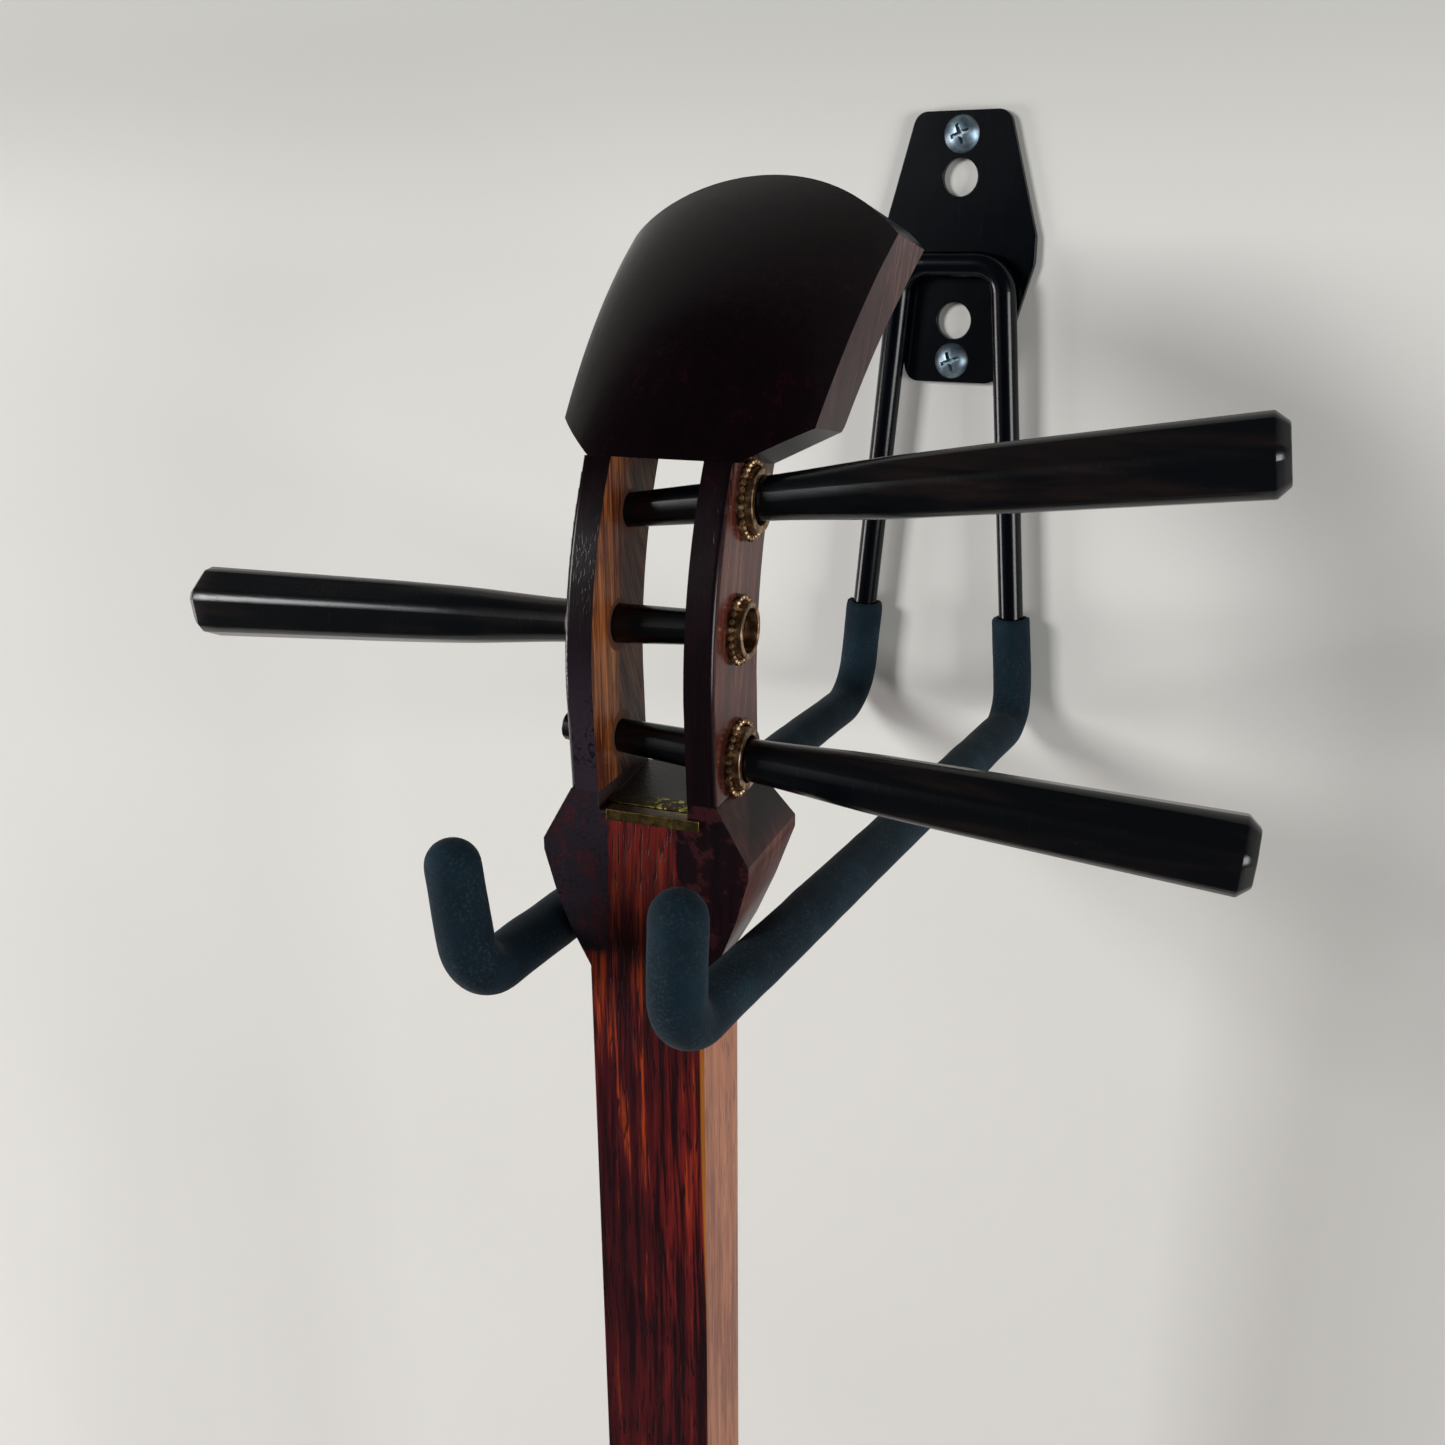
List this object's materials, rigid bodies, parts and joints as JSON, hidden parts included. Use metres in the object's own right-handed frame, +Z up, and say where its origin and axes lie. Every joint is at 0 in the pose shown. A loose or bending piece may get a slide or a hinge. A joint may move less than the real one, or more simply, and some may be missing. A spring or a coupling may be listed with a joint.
{
  "type": "lute on wall hanger",
  "caption": "Long-necked lute with a swept head, tapered side pegs and a skin-covered sound box, hung by its neck flare on a padded rod wall hanger; pegs turn and the lute lifts off.",
  "frame": {"origin": "The middle of the hanger plate's back face, which lies on the wall.", "axes": "+X to the right as one faces the wall, +Y into the wall, +Z up. The arms reach out along -Y and the lute hangs down along -Z, turned 6.3 degrees about Z on the arms."},
  "size_m": [0.2218, 0.2449, 0.9753],
  "materials": {
    "black_metal": "gloss black enamel",
    "foam": "matt dark foam rubber",
    "zinc": "zinc plated steel",
    "lacquered_wood": "satin dark lacquer over an open-pored hardwood",
    "red_wood": "satin streaked red hardwood",
    "old_brass": "tarnished brass",
    "ebony": "polished ebony",
    "box_wood": "polished dark hardwood",
    "skin": "stretched pale parchment skin"
  },
  "bodies": {
    "hanger": {"wall_plate": "black_metal", "hanger_rod": "black_metal", "foam_sleeve_left": "foam", "foam_sleeve_right": "foam", "wall_screw_top": "zinc", "wall_screw_bottom": "zinc"},
    "lute": {"pegbox_head": "lacquered_wood", "upper_neck": "red_wood", "middle_neck": "red_wood", "lower_neck": "red_wood", "nut": "old_brass", "slot_plate": "old_brass", "bushing_top_grip": "old_brass", "bushing_top_tip": "old_brass", "bushing_middle_grip": "old_brass", "bushing_middle_tip": "old_brass", "bushing_bottom_grip": "old_brass", "bushing_bottom_tip": "old_brass", "top_board": "box_wood", "right_board": "box_wood", "bottom_board": "box_wood", "left_board": "box_wood", "front_skin": "skin", "back_skin": "skin"},
    "top_peg": {"peg_top": "ebony"},
    "middle_peg": {"peg_middle": "ebony"},
    "bottom_peg": {"peg_bottom": "ebony"}
  },
  "joints": [
    {"name": "lift_off", "type": "slide", "parent": "hanger", "child": "lute", "axis": [0, -0.5, 0.866], "range_m": [0, 0.13]},
    {"name": "top_peg_turn", "type": "hinge", "parent": "lute", "child": "top_peg", "pos_m": [0.01428, -0.16292, -0.0431], "axis": [0.9846, 0.1087, 0.1366], "continuous": true},
    {"name": "middle_peg_turn", "type": "hinge", "parent": "lute", "child": "middle_peg", "pos_m": [-0.01561, -0.17286, -0.068], "axis": [-0.9932, -0.1096, -0.0393], "continuous": true},
    {"name": "bottom_peg_turn", "type": "hinge", "parent": "lute", "child": "bottom_peg", "pos_m": [0.01505, -0.16988, -0.0926], "axis": [0.9917, 0.1095, -0.067], "continuous": true}
  ]
}
